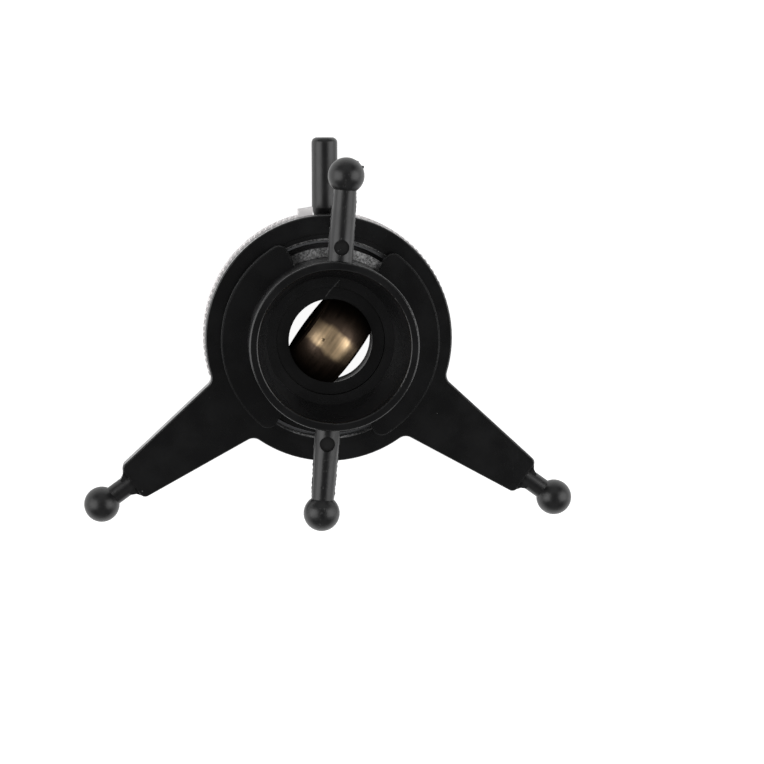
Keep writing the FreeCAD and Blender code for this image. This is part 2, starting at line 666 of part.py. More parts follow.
def hub_arm(body, side, sign):
    """One tapered round arm of the hub along the Y axis, with its moulded link ball and the dimple near its root."""
    stem(body, f"{side}_arm", "hub_arm_height", f"{sign} * 90", [
        ("hub_arm_start", "0"),
        ("hub_ball_reach", "0"),
        ("hub_ball_reach", "hub_arm_tip_radius"),
        ("hub_arm_start", "hub_arm_root_radius"),
    ])
    primitive(body, "AdditiveSphere", f"{side}_ball", {"Radius": "link_ball_radius"},
              offset={"y": f"{sign} * hub_ball_reach", "z": "hub_arm_height"})
    primitive(body, "SubtractiveCylinder", f"{side}_dimple",
              {"Radius": "dimple_radius", "Height": "hub_arm_root_radius"},
              offset={"y": f"{sign} * dimple_reach", "z": "hub_arm_height + hub_arm_root_radius - dimple_depth"})


def wing_sector(body):
    """The +X wing, a rectangle turned about the mast through the angle that a wing spans."""
    sketch = profile(body, "wing_profile", [
        ("wing_root_radius", "flange_bottom"),
        ("wing_radius", "flange_bottom"),
        ("wing_radius", "flange_bottom + wing_thickness"),
        ("wing_root_radius", "flange_bottom + wing_thickness"),
    ])
    wing = body.newObject("PartDesign::Revolution", "wing")
    wing.Profile = sketch
    wing.ReferenceAxis = (sketch, ["V_Axis"])
    wing.Midplane = True
    bind(wing, "Angle", "2 * wing_half_angle")
    document.recompute()
    return wing


def hub_collar():
    """Top-hat collar: flange under the inner race, and a sleeve that holds the ball seat from below."""
    body = new_body("hub_collar")
    foot = "0 - collar_foot"
    shoulder = f"{BEARING_BOTTOM} - face_gap"
    revolve(body, "collar", [
        ("collar_bore_radius", foot),
        ("collar_radius", foot),
        ("collar_radius", shoulder),
        ("seat_pocket_radius - fit_gap", shoulder),
        ("seat_pocket_radius - fit_gap", "0 - seat_half_height - face_gap"),
        ("collar_bore_radius", "0 - seat_half_height - face_gap"),
    ])
    bore, height = value("collar_bore_radius"), value(foot)
    dress(body, "Chamfer", "mouth", "Size", "collar_flare", lambda edge: circle_at(edge, bore, height))
    return body


def ball_seat(label, flipped):
    """One half of the ball's plastic seat: a ring with a nose, hollowed by the ball's sphere."""
    body = new_body(label)
    if flipped:
        body.Placement = FreeCAD.Placement(FreeCAD.Vector(), FreeCAD.Rotation(FreeCAD.Vector(1, 0, 0), 180))
    revolve(body, "ring", [
        ("ball_radius / 2", "seat_split / 2"),
        ("seat_pocket_radius - running_gap", "seat_split / 2"),
        ("seat_pocket_radius - running_gap", "seat_half_height - face_gap"),
        ("seat_nose_radius", "seat_half_height - face_gap"),
        ("seat_nose_radius", "seat_nose_height"),
        ("ball_radius / 2", "seat_nose_height"),
    ])
    primitive(body, "SubtractiveSphere", "ball_socket", {"Radius": "ball_radius + seat_play"})
    return body


def mast_ball():
    """Brass ball with two flats and the mast bore, lying in the seat with its bore on its side."""
    body = new_body("mast_ball")
    lean = FreeCAD.Rotation(FreeCAD.Vector(0, 1, 0), 90)
    heading = FreeCAD.Rotation(FreeCAD.Vector(0, 0, 1), value("ball_turn"))
    body.Placement = FreeCAD.Placement(FreeCAD.Vector(), heading.multiply(lean))
    ball = primitive(body, "AdditiveSphere", "ball", {"Radius": "ball_radius"})
    bind(ball, "Angle2", "asin(ball_width / 2 / ball_radius)")
    bind(ball, "Angle1", "asin(0 - ball_width / 2 / ball_radius)")
    document.recompute()
    primitive(body, "SubtractiveCylinder", "mast_bore",
              {"Radius": "mast_bore_radius", "Height": "2 * ball_width"}, offset={"z": "0 - ball_width"})
    bore, flat = value("mast_bore_radius"), value("ball_width") / 2
    dress(body, "Chamfer", "bore_ends", "Size", "bore_chamfer",
          lambda edge: circle_at(edge, bore, flat) or circle_at(edge, bore, -flat))
    return body


def build():
    """Builds every sub-part of the swashplate.

    Returns:
        The labelled objects, one for each exported node.
    """
    fill_sheet()
    return [
        outer_star(),
        retainer_ring(),
        anti_rotation_pin(),
        outer_race(),
        seal("bearing_seal_upper", f"{BEARING_TOP} - seal_thickness"),
        seal("bearing_seal_lower", BEARING_BOTTOM),
        inner_race(),
        bearing_cage(),
        bearing_balls(),
        rotor_hub(),
        hub_collar(),
        ball_seat("ball_seat_upper", flipped=False),
        ball_seat("ball_seat_lower", flipped=True),
        mast_ball(),
    ]


def check(parts):
    """Stops the build if any object failed or any sub-part has no sound shape."""
    for item in document.Objects:
        if {"Invalid", "Error"} & set(item.State):
            raise RuntimeError(f"{item.Name} ({item.Label}): {item.State}")
    for part in parts:
        if part.Shape.isNull() or not part.Shape.isValid() or not part.Shape.Solids:
            raise RuntimeError(f"{part.Label}: no sound solid")


def export(parts):
    """Writes parts/LABEL.step for every sub-part."""
    os.makedirs("parts", exist_ok=True)
    for part in parts:
        part.Shape.exportStep(f"parts/{part.Label}.step")
        print(f"{part.Label}: {len(part.Shape.Solids)} solid, {part.Shape.Volume:.2f} mm3")


parts = build()
document.recompute()
check(parts)
export(parts)
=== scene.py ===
"""Looks of a small model helicopter's swashplate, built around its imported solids.

The solids already hold every moulded and turned form, so most of this file is finishes: black moulded nylon
in its glossy and dull areas, turned brass, serrated alloy and bearing steel. The new pieces are what a mould
leaves behind: the parting line along the hub's two arms and the gate scars on one link ball.
"""

import logging
import math
from dataclasses import dataclass, field
from enum import Enum

import bpy
import numpy as np
from mathutils import Matrix, Vector


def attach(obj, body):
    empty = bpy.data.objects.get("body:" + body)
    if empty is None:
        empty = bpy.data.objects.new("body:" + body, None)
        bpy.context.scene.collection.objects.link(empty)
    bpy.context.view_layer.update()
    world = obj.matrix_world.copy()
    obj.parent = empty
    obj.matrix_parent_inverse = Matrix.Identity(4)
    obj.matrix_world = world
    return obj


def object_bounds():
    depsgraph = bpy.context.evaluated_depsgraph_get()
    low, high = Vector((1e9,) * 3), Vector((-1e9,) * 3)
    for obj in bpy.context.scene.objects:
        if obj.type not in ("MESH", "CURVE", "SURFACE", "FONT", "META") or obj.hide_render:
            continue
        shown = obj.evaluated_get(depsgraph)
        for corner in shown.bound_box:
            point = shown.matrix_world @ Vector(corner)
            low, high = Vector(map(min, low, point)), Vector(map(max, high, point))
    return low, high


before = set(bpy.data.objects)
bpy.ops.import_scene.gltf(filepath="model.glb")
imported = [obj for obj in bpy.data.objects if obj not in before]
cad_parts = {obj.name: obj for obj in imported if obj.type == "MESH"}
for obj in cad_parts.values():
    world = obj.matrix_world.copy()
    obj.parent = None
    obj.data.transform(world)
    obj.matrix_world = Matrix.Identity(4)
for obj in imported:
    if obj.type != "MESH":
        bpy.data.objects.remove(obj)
CAD_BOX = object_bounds()

log = logging.getLogger("swashplate")
MM = 0.001

Socket = bpy.types.NodeSocket
Triple = tuple[float, float, float]
Colour = Triple
Value = Socket | float | Colour
# A ramp is (low, high, result at low, result at high).
Ramp = tuple[float, float, float, float]


class Zone(Enum):
    """Where the mould was left dull on a black part."""

    NOWHERE = "nowhere"
    BEYOND_DISC = "beyond the servo arms' square ends"
    OUTSIDE_CUP = "outside the hub's cup, above its wings"
    EVERYWHERE = "everywhere"


@dataclass(frozen=True)
class Noise:
    """A noise between about 0.2 and 0.8, with its scale in waves per metre."""

    scale: float
    detail: float = 3.0
    rough: float = 0.55


class Nodes:
    """A short way to build one material's node tree, on Object coordinates in metres."""

    # The Mix node's colour sockets by place, because its sockets of other types have the same names.
    FIRST_COLOUR, SECOND_COLOUR = 6, 7
    MIXED_COLOUR = 2

    def __init__(self, name: str) -> None:
        """Starts a material with an output, a Principled shader and Object coordinates.

        Args:
            name: the material's name.
        """
        self.material = bpy.data.materials.new(name)
        self.material.use_nodes = True
        self.tree = self.material.node_tree
        self.tree.nodes.clear()
        output = self.add("ShaderNodeOutputMaterial")
        self.shader = self.add("ShaderNodeBsdfPrincipled")
        self.link(self.shader.outputs["BSDF"], output.inputs["Surface"])
        self.place = self.add("ShaderNodeTexCoord").outputs["Object"]

    def add(self, kind: str, **settings: object) -> bpy.types.Node:
        """Adds a node.

        Args:
            kind: the node's type.
            settings: the node's properties and their values.

        Returns:
            The node.
        """
        node = self.tree.nodes.new(kind)
        for key, value in settings.items():
            setattr(node, key, value)
        return node

    def link(self, source: Socket, target: Socket) -> None:
        """Joins two sockets."""
        self.tree.links.new(source, target)

    def feed(self, socket: Socket, value: Value) -> None:
        """Gives a socket a constant or another node's output.

        Args:
            socket: the input.
            value: the constant or the output.
        """
        if isinstance(value, Socket):
            self.link(value, socket)
        else:
            socket.default_value = value

    def math(self, operation: str, first: Value, second: Value = 0.0, third: Value = 0.0) -> Socket:
        """Works out one operation of a Math node.

        Args:
            operation: the node's operation.
            first: a number or an output.
            second: a number or an output.
            third: a number or an output.

        Returns:
            The node's output.
        """
        node = self.add("ShaderNodeMath", operation=operation)
        for socket, value in zip(node.inputs, (first, second, third)):
            self.feed(socket, value)
        return node.outputs[0]

    def product(self, *values: Value) -> Socket:
        """Multiplies values in order.

        Args:
            values: an output, and one or more numbers or outputs.

        Returns:
            Their product.
        """
        result = values[0]
        for value in values[1:]:
            result = self.math("MULTIPLY", result, value)
        return result

    def apart(self, value: Value, centre: Value = 0.0) -> Socket:
        """How far a value lies from a centre, either way."""
        gap = self.math("SUBTRACT", value, centre) if centre else value
        return self.math("ABSOLUTE", gap)

    def noise(self, noise: Noise, vector: Socket | None = None) -> Socket:
        """Adds a noise.

        Args:
            noise: its scale, detail and roughness.
            vector: where it is read, or None for Object coordinates.

        Returns:
            The noise's value.
        """
        node = self.add("ShaderNodeTexNoise")
        self.link(vector or self.place, node.inputs["Vector"])
        node.inputs["Scale"].default_value = noise.scale
        node.inputs["Detail"].default_value = noise.detail
        node.inputs["Roughness"].default_value = noise.rough
        return node.outputs["Fac"]

    def ramp(self, value: Socket, low: float, high: float, out_low: float = 0.0,
             out_high: float = 1.0) -> Socket:
        """Maps a value smoothly from one range to another, clamped at both ends.

        Args:
            value: the output to map.
            low: the value that gives out_low.
            high: the value that gives out_high.
            out_low: the result at and below low.
            out_high: the result at and above high.

        Returns:
            The mapped value.
        """
        node = self.add("ShaderNodeMapRange", interpolation_type="SMOOTHSTEP")
        self.link(value, node.inputs["Value"])
        for key, number in (("From Min", low), ("From Max", high), ("To Min", out_low), ("To Max", out_high)):
            node.inputs[key].default_value = number
        return node.outputs["Result"]

    def mix(self, share: Value, first: Value, second: Value) -> Socket:
        """Mixes two colours.

        Args:
            share: how much of the second colour there is.
            first: a colour or an output.
            second: a colour or an output.

        Returns:
            The mixed colour.
        """
        node = self.add("ShaderNodeMix", data_type="RGBA")
        self.feed(node.inputs["Factor"], share)
        sockets = (node.inputs[self.FIRST_COLOUR], node.inputs[self.SECOND_COLOUR])
        for socket, value in zip(sockets, (first, second)):
            self.feed(socket, (*value, 1.0) if isinstance(value, tuple) else value)
        return node.outputs[self.MIXED_COLOUR]

    def bump(self, height: Socket, depth_mm: float, strength: float = 1.0,
             below: Socket | None = None) -> Socket:
        """Adds a bump of a real depth.

        Args:
            height: the bump's height, from 0 to 1.
            depth_mm: what a height of 1 measures, in millimetres.
            strength: how much of the bump shows.
            below: the normal of the bumps under this one, if there are any.

        Returns:
            The surface normal.
        """
        node = self.add("ShaderNodeBump")
        node.inputs["Distance"].default_value = depth_mm * MM
        node.inputs["Strength"].default_value = strength
        self.link(height, node.inputs["Height"])
        if below is not None:
            self.link(below, node.inputs["Normal"])
        return node.outputs["Normal"]

    def mapping(self, source: Socket | None = None, kind: str = "POINT", **vectors: tuple) -> Socket:
        """Moves, turns or scales a position.

        Args:
            source: the position, or None for Object coordinates.
            kind: the Mapping node's vector type.
            vectors: the node's Location, Rotation and Scale, where they are set.

        Returns:
            The new position.
        """
        node = self.add("ShaderNodeMapping", vector_type=kind)
        self.link(source or self.place, node.inputs["Vector"])
        for key, value in vectors.items():
            node.inputs[key].default_value = value
        return node.outputs["Vector"]

    def split(self, vector: Socket) -> tuple[Socket, ...]:
        """Takes a position apart.

        Args:
            vector: the position.

        Returns:
            Its x, y and z.
        """
        node = self.add("ShaderNodeSeparateXYZ")
        self.link(vector, node.inputs["Vector"])
        return tuple(node.outputs)

    def axes(self, turn: float = 0.0) -> tuple[Socket, ...]:
        """The x, y and z of Object coordinates, turned about Z by an angle in radians."""
        return self.split(self.mapping(Rotation=(0.0, 0.0, turn)) if turn else self.place)

    def radius(self) -> Socket:
        """Distance from the mast axis in metres."""
        x, y, _ = self.axes()
        return self.math("SQRT", self.math("ADD", self.product(x, x), self.product(y, y)))


@dataclass
class Skin:
    """The outputs that a black part's finish has come to, and the blotches that its marks follow."""

    colour: Socket
    roughness: Socket
    normal: Socket
    blotch: Socket

    def roughen(self, tree: Nodes, share: Socket, amount: float) -> None:
        """Adds to the roughness over a share of the surface."""
        self.roughness = tree.math("ADD", self.roughness, tree.product(share, amount))


@dataclass(frozen=True)
class MastBand:
    """A ring about the mast that a finish sets apart, in millimetres."""

    inner: float
    outer: float
    bottom: float
    top: float
    strength: float = 1.0
    soft: float = 0.05
    front_only: bool = False
    front_edge: float = 1.0
    fade: tuple[float, float] | None = None
    fade_centre: float = 2.4
    faded: float = 0.35

    def share(self, tree: Nodes) -> Socket:
        """Finds the ring.

        Args:
            tree: the material.

        Returns:
            The ring's strength inside it and 0 outside, fading away from the hub's arm where fade is given.
        """
        across, forward, height = tree.axes()
        radius, soft = tree.radius(), self.soft * MM
        limits = [
            tree.ramp(radius, self.inner * MM - soft, self.inner * MM),
            tree.ramp(radius, self.outer * MM, self.outer * MM + soft, 1.0, 0.0),
            tree.ramp(height, self.bottom * MM - soft, self.bottom * MM),
            tree.ramp(height, self.top * MM, self.top * MM + soft, 1.0, 0.0),
        ]
        # Painted light: front_only keeps the band, and the painted glints in it, to the part's front.
        if self.front_only:
            limits.append(tree.ramp(forward, -self.front_edge * MM, self.front_edge * MM))
        # Painted light: the fade dims the band away from a line fade_centre mm along x, so painted glints are
        # brightest beside the hub's arm.
        if self.fade:
            beside = tree.apart(across, self.fade_centre * MM)
            near, far = (part * MM for part in self.fade)
            limits.append(tree.ramp(beside, near, far, 1.0, self.faded))
        return tree.product(*limits, self.strength)


@dataclass(frozen=True)
class EtchedSkinAndPaintedGlint:
    """A ring where the spark-eroded mould left a rough skin, with a painted glint that lightens its colour in
    grains.
    """

    band: MastBand
    grains: Noise = Noise(5200.0, 3.0, 0.75)
    grain_painted_glint: Ramp = (0.34, 0.70, 0.05, 0.44)
    patches: Noise = Noise(330.0, 2.0)
    patch_painted_glint: Ramp = (0.35, 0.65, 0.45, 1.25)
    roughness: float = 0.12
    depth_mm: float = 0.05

    def lay(self, tree: Nodes, skin: Skin) -> None:
        """Paints glints into the colour in grains, and adds the grains to the roughness and the normal.

        Args:
            tree: the material.
            skin: the finish so far, which changes.
        """
        grains = tree.noise(self.grains)
        # Painted glint: grains of grey, up to about half white, mixed into the colour inside the band.
        bright = tree.product(tree.ramp(grains, *self.grain_painted_glint),
                              tree.ramp(tree.noise(self.patches), *self.patch_painted_glint))
        share = self.band.share(tree)
        glint = tree.add("ShaderNodeCombineColor")
        for channel in glint.inputs:
            tree.link(bright, channel)
        skin.colour = tree.mix(share, skin.colour, glint.outputs["Color"])
        skin.roughen(tree, share, self.roughness)
        skin.normal = tree.bump(tree.product(grains, share), self.depth_mm, below=skin.normal)


@dataclass(frozen=True)
class DimplePair:
    """A pair of smooth round hollows, one on each side of the mast, darkened as painted shade, in
    millimetres.
    """

    x: float
    y: float
    radius: float
    bottom: float
    soft: float = 0.02
    soft_height: float = 0.1
    # Painted shade: the hollows' colour, darker than the arm around them.
    colour: Colour = (0.004, 0.004, 0.004)
    roughness: float = 0.04

    def lay(self, tree: Nodes, skin: Skin) -> None:
        """Darkens the hollows' colour as painted shade and adds to their roughness.

        Args:
            tree: the material.
            skin: the finish so far, which changes.
        """
        share = self._share(tree)
        skin.colour = tree.mix(share, skin.colour, self.colour)
        skin.roughen(tree, share, self.roughness)

    def _share(self, tree: Nodes) -> Socket:
        """Finds the hollows.

        Args:
            tree: the material.

        Returns:
            1 inside either hollow and 0 outside both.
        """
        across, forward, height = tree.axes()
        gaps = []
        for side in (1.0, -1.0):
            level = tree.add("ShaderNodeCombineXYZ")
            tree.link(tree.math("ADD", across, -side * self.x * MM), level.inputs["X"])
            tree.link(tree.math("ADD", forward, -side * self.y * MM), level.inputs["Y"])
            length = tree.add("ShaderNodeVectorMath", operation="LENGTH")
            tree.link(level.outputs["Vector"], length.inputs[0])
            gaps.append(length.outputs["Value"])
        nearest = tree.math("MINIMUM", *gaps)
        inside = tree.ramp(nearest, (self.radius - self.soft) * MM, self.radius * MM, 1.0, 0.0)
        above = tree.ramp(height, self.bottom * MM, (self.bottom + self.soft_height) * MM)
        return tree.product(inside, above)


@dataclass(frozen=True)
class CupPaintedSheen:
    """Painted sheen inside the hub's cup: a paler colour, uneven with the part's blotches."""

    band: MastBand
    # Painted sheen: the cup's paler colour.
    colour: Colour = (0.012, 0.012, 0.0125)
    blotch_share: Ramp = (0.3, 0.7, 0.5, 1.0)

    def lay(self, tree: Nodes, skin: Skin) -> None:
        """Paints the sheen into the colour.

        Args:
            tree: the material.
            skin: the finish so far, which changes.
        """
        share = tree.product(self.band.share(tree), tree.ramp(skin.blotch, *self.blotch_share))
        skin.colour = tree.mix(share, skin.colour, self.colour)


@dataclass(frozen=True)
class TornDents:
    """Small torn dents in two rows along the top of the hub's arms, darkened as painted shade, in
    millimetres.
    """

    turn: float
    row_place: float = 0.22
    row_edge: tuple[float, float] = (0.06, 0.16)
    arm_start: tuple[float, float] = (9.6, 10.0)
    arm_top: tuple[float, float] = (8.0, 8.2)
    tears: Noise = Noise(2600.0, 2.0, 0.6)
    torn: tuple[float, float] = (0.60, 0.66)
    # Painted shade: the dents' colour, near black.
    colour: Colour = (0.0008, 0.0008, 0.0008)
    depth: float = 0.05

    def lay(self, tree: Nodes, skin: Skin) -> None:
        """Paints shade into the dents' colour and sinks them in the normal.

        Args:
            tree: the material.
            skin: the finish so far, which changes.
        """
        dents = self._share(tree)
        skin.colour = tree.mix(dents, skin.colour, self.colour)
        skin.normal = tree.bump(tree.math("SUBTRACT", 1.0, dents), self.depth, below=skin.normal)

    def _share(self, tree: Nodes) -> Socket:
        """Finds the dents.

        Args:
            tree: the material.

        Returns:
            1 in a dent and 0 elsewhere.
        """
        aside, along, height = tree.axes(self.turn)
        row = tree.apart(tree.apart(aside), self.row_place * MM)
        torn = tree.ramp(tree.noise(self.tears), *self.torn)
        near_row = tree.ramp(row, *(part * MM for part in self.row_edge), 1.0, 0.0)
        on_arm = tree.ramp(tree.apart(along), *(part * MM for part in self.arm_start))
        return tree.product(torn, near_row, on_arm, tree.ramp(height, *(part * MM for part in self.arm_top)))


@dataclass(frozen=True)
class LongScratch:
    """One deep handling scratch seen from above, from one level point to another, in millimetres."""

    start: tuple[float, float]
    end: tuple[float, float]
    width: float = 0.10
    core: float = 0.3
    waver: Noise = Noise(700.0, 2.0)
    waver_reach: tuple[float, float] = (0.3, 0.7)
    waver_mm: tuple[float, float] = (-0.1, 0.1)
    full_length: float = 0.7
    colour: Colour = (0.09, 0.09, 0.09)

    def lay(self, tree: Nodes, skin: Skin) -> None:
        """Adds the scratch to the colour."""
        skin.colour = tree.mix(self._share(tree), skin.colour, self.colour)

    def _share(self, tree: Nodes) -> Socket:
        """Finds the scratch, which wavers a little and fades towards its ends.

        Args:
            tree: the material.

        Returns:
            1 along the scratch and 0 away from it.
        """
        long_way = Vector(self.end) - Vector(self.start)
        along, across, _ = tree.split(tree.mapping(
            kind="TEXTURE", Location=(self.start[0] * MM, self.start[1] * MM, 0.0),
            Rotation=(0.0, 0.0, math.atan2(long_way.y, long_way.x))))
        waver = tree.ramp(tree.noise(self.waver), *self.waver_reach, *(part * MM for part in self.waver_mm))
        aside = tree.apart(tree.math("ADD", across, waver))
        line = tree.ramp(aside, self.core * self.width * MM, self.width * MM, 1.0, 0.0)
        middle = 0.5 * long_way.length * MM
        ends = tree.ramp(tree.apart(along, middle), self.full_length * middle, middle, 1.0, 0.0)
        return tree.product(line, ends)


@dataclass(frozen=True)
class MattBand:
    """A ring whose surface is rougher and reflects less than the rest."""

    band: MastBand
    roughness: float = 0.4
    reflection: tuple[float, float] = (0.5, 0.18)

    def lay(self, tree: Nodes, skin: Skin) -> None:
        """Adds to the roughness and lowers the shader's reflection.

        Args:
            tree: the material.
            skin: the finish so far, which changes.
        """
        share = self.band.share(tree)
        skin.roughen(tree, share, self.roughness)
        tree.link(tree.ramp(share, 0.0, 1.0, *self.reflection), tree.shader.inputs["Specular IOR Level"])


Mark = EtchedSkinAndPaintedGlint | DimplePair | CupPaintedSheen | TornDents | LongScratch | MattBand


@dataclass(frozen=True)
class Dust:
    """Sparse specks of dust: small spots round the few Voronoi points that are chosen."""

    scale: float = 480.0
    spot: Ramp = (0.024, 0.048, 1.0, 0.0)
    chosen: tuple[float, float] = (0.52, 0.54)
    colour: Colour = (0.22, 0.22, 0.215)
    roughness: float = 0.3

    def share(self, tree: Nodes) -> Socket:
        """Finds the specks.

        Args:
            tree: the material.

        Returns:
            1 in a speck and 0 elsewhere.
        """
        cells = tree.add("ShaderNodeTexVoronoi")
        tree.link(tree.place, cells.inputs["Vector"])
        cells.inputs["Scale"].default_value = self.scale
        near = tree.ramp(cells.outputs["Distance"], *self.spot)
        lot = tree.add("ShaderNodeSeparateColor")
        tree.link(cells.outputs["Color"], lot.inputs["Color"])
        return tree.product(near, tree.ramp(lot.outputs[0], *self.chosen))


@dataclass(frozen=True)
class HandlingMarks:
    """Fine scratches: the thin zero lines of a long stretched noise, in patches."""

    turn: Triple = (0.3, 0.2, 0.9)
    stretch: Triple = (1.0, 0.16, 1.0)
    wave: Noise = Noise(1500.0, 1.0, 0.5)
    middle: float = 0.5
    line: Ramp = (0.0, 0.012, 0.0, 1.0)
    patches: Noise = Noise(260.0, 1.0)
    patch_reach: Ramp = (0.52, 0.6, 1.0, 0.0)
    depth_mm: float = 0.0015

    def height(self, tree: Nodes) -> Socket:
        """Draws the scratches.

        Args:
            tree: the material.

        Returns:
            The surface's height: 0 along a scratch and 1 elsewhere.
        """
        wave = tree.noise(self.wave, tree.mapping(Rotation=self.turn, Scale=self.stretch))
        line = tree.ramp(tree.apart(wave, self.middle), *self.line)
        return tree.math("MAXIMUM", line, tree.ramp(tree.noise(self.patches), *self.patch_reach))


@dataclass(frozen=True)
class MouldedNylon:
    """Black moulded nylon: glossy where the tool was polished, dull and faintly grained in its dull zone."""

    name: str
    colour: Colour = (0.0034, 0.0034, 0.0037)
    dull_colour: Colour = (0.0065, 0.0065, 0.0069)
    gloss_roughness: float = 0.27
    dull_roughness: float = 0.36
    refraction: float = 1.5
    zone: Zone = Zone.NOWHERE
    zone_radius_mm: float = 0.0
    zone_height_mm: float = 0.0
    zone_soft_mm: float = 0.25
    zone_soft_height_mm: float = 0.3
    blotches: Noise = Noise(320.0, 4.0)
    blotch_gain: float = 1.7
    blotch_share: Ramp = (0.35, 0.7, 0.0, 0.45)
    blotch_roughness: Ramp = (0.3, 0.7, -0.035, 0.05)
    grain: Noise = Noise(9000.0, 2.0)
    gloss_grain: float = 0.25
    grain_bump: tuple[float, float] = (0.010, 0.9)
    waves: Noise = Noise(420.0, 2.0)
    wave_bump: tuple[float, float] = (0.035, 0.6)
    dust: Dust = Dust()
    handling: HandlingMarks = HandlingMarks()
    marks: tuple[Mark, ...] = ()

    def build(self) -> bpy.types.Material:
        """Makes the material.

        Returns:
            A material whose colour, roughness and bump come from Object coordinates.
        """
        tree = Nodes(self.name)
        skin = self._plain(tree)
        for mark in self.marks:
            mark.lay(tree, skin)
        tree.link(skin.colour, tree.shader.inputs["Base Color"])
        tree.link(skin.roughness, tree.shader.inputs["Roughness"])
        tree.link(skin.normal, tree.shader.inputs["Normal"])
        tree.shader.inputs["IOR"].default_value = self.refraction
        return tree.material

    def _plain(self, tree: Nodes) -> Skin:
        """Lays blotches, dust, grain, waves and fine scratches.

        Args:
            tree: the material.

        Returns:
            The nylon before its own marks.
        """
        dull = self._dull(tree)
        blotch = tree.noise(self.blotches)
        specks = self.dust.share(tree)
        lighter = tuple(self.blotch_gain * part for part in self.colour)
        colour = self._between(tree, dull, self.colour, self.dull_colour)
        colour = tree.mix(tree.ramp(blotch, *self.blotch_share), colour, lighter)
        colour = tree.mix(specks, colour, self.dust.colour)
        roughness = tree.math("ADD", tree.ramp(blotch, *self.blotch_roughness),
                              self._between(tree, dull, self.gloss_roughness, self.dull_roughness))
        grain = tree.product(tree.noise(self.grain), self._between(tree, dull, self.gloss_grain, 1.0))
        normal = tree.bump(grain, *self.grain_bump)
        normal = tree.bump(tree.noise(self.waves), *self.wave_bump, below=normal)
        normal = tree.bump(self.handling.height(tree), self.handling.depth_mm, below=normal)
        skin = Skin(colour, roughness, normal, blotch)
        skin.roughen(tree, specks, self.dust.roughness)
        return skin

    @staticmethod
    def _between(tree: Nodes, dull: Value, glossy: Value, matt: Value) -> Value:
        """Chooses between a glossy value and a matt one.

        Args:
            tree: the material.
            dull: the share of dullness, as a number or an output.
            glossy: the number or colour where it isn't dull.
            matt: the number or colour where it is.

        Returns:
            One of the two where dullness is a number, or else an output that blends both.
        """
        if isinstance(dull, float):
            return matt if dull else glossy
        if isinstance(glossy, tuple):
            return tree.mix(dull, glossy, matt)
        return tree.ramp(dull, 0.0, 1.0, glossy, matt)

    def _dull(self, tree: Nodes) -> Value:
        """Finds the dull zone.

        Args:
            tree: the material.

        Returns:
            1 in the zone and 0 outside it, as a number where the whole part is alike.
        """
        if self.zone is Zone.NOWHERE:
            return 0.0
        if self.zone is Zone.EVERYWHERE:
            return 1.0
        edge = self.zone_radius_mm * MM
        beyond = tree.ramp(tree.radius(), edge, edge + self.zone_soft_mm * MM)
        if self.zone is Zone.BEYOND_DISC:
            return beyond
        bottom = self.zone_height_mm * MM
        return tree.product(beyond, tree.ramp(tree.axes()[2], bottom, bottom + self.zone_soft_height_mm * MM))


